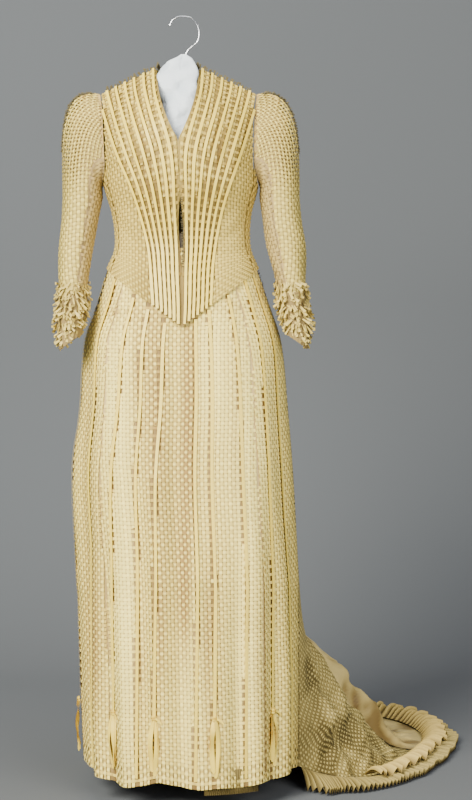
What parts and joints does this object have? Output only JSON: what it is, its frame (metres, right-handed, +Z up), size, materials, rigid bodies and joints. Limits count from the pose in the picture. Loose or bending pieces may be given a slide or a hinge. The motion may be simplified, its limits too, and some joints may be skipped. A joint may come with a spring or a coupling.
{
  "type": "afternoon dress on a hanger",
  "caption": "Full-length afternoon dress of ribbon-woven net with a pointed bodice, frilled cuffs and a swept train, hanging open from a padded hanger by its hook.",
  "frame": {"origin": "inside the top of the hanger's hook, where a rail or peg carries it", "axes": "+Z up, the dress's front towards -Y, +X to the right as seen from the front"},
  "size_m": [0.8007, 0.8969, 1.4576],
  "materials": {
    "net": "ribbon-woven net over a pale ground, dull with fine shiny ribbons",
    "net_under": "the same net in shade, tan",
    "ribbon": "narrow golden silk ribbon, soft sheen",
    "satin": "plain dull satin, soft sheen",
    "frill": "pleated and looped net, dull",
    "white_cloth": "white cotton padding, matt",
    "chrome": "bright wire"
  },
  "bodies": {
    "root": {"bodice_back_left": "net", "bodice_back_right": "net", "bodice_front_left": "net", "bodice_front_right": "net", "bodice_side_left": "net", "bodice_side_right": "net", "cuff_frill_left": "frill", "cuff_frill_right": "frill", "fan_ribbon_left_1": "ribbon", "fan_ribbon_left_2": "ribbon", "fan_ribbon_left_3": "ribbon", "fan_ribbon_left_4": "ribbon", "fan_ribbon_left_5": "ribbon", "fan_ribbon_left_6": "ribbon", "fan_ribbon_left_7": "ribbon", "fan_ribbon_right_1": "ribbon", "fan_ribbon_right_2": "ribbon", "fan_ribbon_right_3": "ribbon", "fan_ribbon_right_4": "ribbon", "fan_ribbon_right_5": "ribbon", "fan_ribbon_right_6": "ribbon", "fan_ribbon_right_7": "ribbon", "front_under_frill": "frill", "hanger_bar": "white_cloth", "hanger_hook": "chrome", "neck_edging": "frill", "neck_padding": "white_cloth", "skirt_front": "net", "skirt_ribbon_1": "ribbon", "skirt_ribbon_10": "ribbon", "skirt_ribbon_2": "ribbon", "skirt_ribbon_3": "ribbon", "skirt_ribbon_4": "ribbon", "skirt_ribbon_5": "ribbon", "skirt_ribbon_6": "ribbon", "skirt_ribbon_7": "ribbon", "skirt_ribbon_8": "ribbon", "skirt_ribbon_9": "ribbon", "skirt_satin_left": "satin", "skirt_satin_right": "satin", "skirt_side_left": "net", "skirt_side_right": "net", "skirt_waistband": "satin", "sleeve_under_left": "net_under", "sleeve_under_right": "net_under", "sleeve_upper_left": "net", "sleeve_upper_right": "net", "train_frill_pleated": "frill", "train_frill_ruched": "net", "train_net_left": "net", "train_net_right": "net", "train_satin_left": "satin", "train_satin_right": "satin"}
  },
  "joints": []
}
